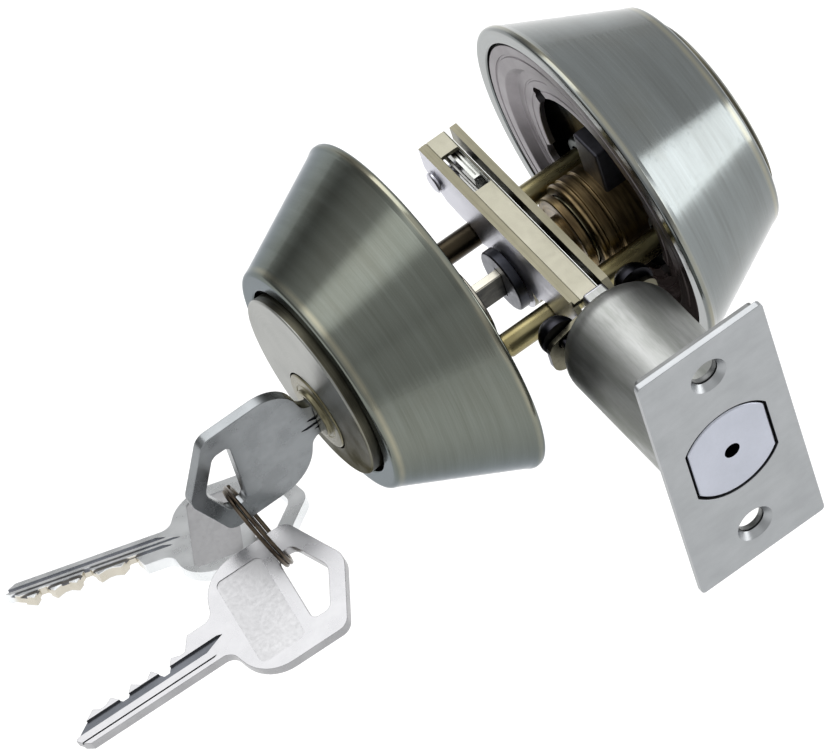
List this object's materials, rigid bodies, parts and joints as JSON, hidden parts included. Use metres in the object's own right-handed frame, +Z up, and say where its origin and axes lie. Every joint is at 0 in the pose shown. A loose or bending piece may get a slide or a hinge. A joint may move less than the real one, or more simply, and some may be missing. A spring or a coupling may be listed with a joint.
{
  "type": "deadbolt door lock",
  "caption": "Double-cylinder tubular deadbolt: flared round roses, key plugs below centre, tubular latch with flatted bolt and rectangular faceplate, keys on a wire ring.",
  "frame": {"origin": "where the axis of the two roses crosses the axis of the bolt", "axes": "+X the way the bolt is thrown, +Y through the door from the exterior to the interior side, +Z up as the lock is mounted"},
  "size_m": [0.0923, 0.1483, 0.0646],
  "materials": {
    "antique_nickel": "brushed antique nickel plate, lines round the axis, clear lacquer",
    "satin_nickel": "satin nickel plate",
    "brass": "turned brass, slightly tarnished",
    "yellow_zinc": "pressed steel, pale yellow zinc plate",
    "screw_olive": "rolled screw, olive zinc plate",
    "black_oxide": "black oxide, low sheen",
    "bright_zinc": "drawn tube, bright zinc plate",
    "satin_stainless": "satin stainless steel",
    "satin_bolt": "blasted nickel plate",
    "key_nickel": "nickel-plated brass",
    "ring_bronze": "dark bronzed wire",
    "spring_steel": "drawn spring wire",
    "plain_steel": "plain steel, zinc plate"
  },
  "bodies": {
    "housing": {"backing_plate": "satin_stainless", "barrel_rivet_exterior": "black_oxide", "barrel_rivet_interior": "black_oxide", "bolt_barrel": "bright_zinc", "case_rivet_front": "plain_steel", "case_rivet_rear": "plain_steel", "detent_spring": "spring_steel", "exterior_cylinder_body": "satin_nickel", "exterior_driver_pin_1": "plain_steel", "exterior_driver_pin_2": "plain_steel", "exterior_driver_pin_3": "plain_steel", "exterior_driver_pin_4": "plain_steel", "exterior_driver_pin_5": "plain_steel", "exterior_guard_ring": "plain_steel", "exterior_pin_spring_1": "spring_steel", "exterior_pin_spring_2": "spring_steel", "exterior_pin_spring_3": "spring_steel", "exterior_pin_spring_4": "spring_steel", "exterior_pin_spring_5": "spring_steel", "exterior_rose": "antique_nickel", "faceplate": "satin_stainless", "interior_cylinder_body": "satin_nickel", "interior_driver_pin_1": "plain_steel", "interior_driver_pin_2": "plain_steel", "interior_driver_pin_3": "plain_steel", "interior_driver_pin_4": "plain_steel", "interior_driver_pin_5": "plain_steel", "interior_mounting_plate": "plain_steel", "interior_pin_spring_1": "spring_steel", "interior_pin_spring_2": "spring_steel", "interior_pin_spring_3": "spring_steel", "interior_pin_spring_4": "spring_steel", "interior_pin_spring_5": "spring_steel", "interior_rose": "antique_nickel", "latch_case": "yellow_zinc", "latch_cover": "yellow_zinc", "mounting_screw_front": "screw_olive", "mounting_screw_rear": "screw_olive"},
    "exterior_plug": {"exterior_plug": "brass", "exterior_tailpiece": "plain_steel", "exterior_key_pin_1": "brass", "exterior_key_pin_2": "brass", "exterior_key_pin_3": "brass", "exterior_key_pin_4": "brass", "exterior_key_pin_5": "brass"},
    "cam": {"cam_hub": "black_oxide"},
    "bolt": {"dead_bolt": "satin_bolt", "bolt_hardened_pin": "plain_steel", "bolt_tail": "plain_steel"},
    "interior_plug": {"interior_plug": "brass", "interior_tailpiece": "plain_steel", "interior_key_pin_1": "brass", "interior_key_pin_2": "brass", "interior_key_pin_3": "brass", "interior_key_pin_4": "brass", "interior_key_pin_5": "brass"},
    "key_1": {"key_1": "key_nickel"},
    "ring": {"key_ring": "ring_bronze"},
    "key_2": {"key_2": "key_nickel"},
    "key_3": {"key_3": "key_nickel"}
  },
  "joints": [
    {"name": "key_turn", "type": "hinge", "parent": "housing", "child": "exterior_plug", "pos_m": [0, -0.0195, -0.00635], "axis": [0, 1, 0], "range_deg": [0, 132]},
    {"name": "cam_turn", "type": "hinge", "parent": "housing", "child": "cam", "pos_m": [0, 0, -0.00635], "axis": [0, 1, 0], "range_deg": [0, 132]},
    {"name": "bolt_throw", "type": "slide", "parent": "housing", "child": "bolt", "axis": [1, 0, 0], "range_m": [0, 0.02]},
    {"name": "interior_key_turn", "type": "hinge", "parent": "housing", "child": "interior_plug", "pos_m": [0, 0.0143, -0.00635], "axis": [0, 1, 0], "range_deg": [-80, 80]},
    {"name": "key_withdraw", "type": "slide", "parent": "exterior_plug", "child": "key_1", "axis": [0, -1, 0], "range_m": [0, 0.03]},
    {"name": "ring_swing", "type": "hinge", "parent": "key_1", "child": "ring", "pos_m": [0, -0.0641, -0.00993], "axis": [-0.7891, 0.2165, -0.5748], "range_deg": [-10, 25]},
    {"name": "key_2_swing", "type": "hinge", "parent": "ring", "child": "key_2", "pos_m": [0.00125, -0.06064, -0.02326], "axis": [0.8858, 0.0522, -0.4611], "range_deg": [0, 16]},
    {"name": "key_3_swing", "type": "hinge", "parent": "ring", "child": "key_3", "pos_m": [0.01299, -0.06294, -0.01815], "axis": [0.2128, -0.2678, 0.9397], "range_deg": [-15, 20]}
  ],
  "couplings": [
    {"joint": "key_turn", "follows": "bolt_throw", "rad_per_m": 115.19},
    {"joint": "cam_turn", "follows": "bolt_throw", "rad_per_m": 115.19}
  ]
}
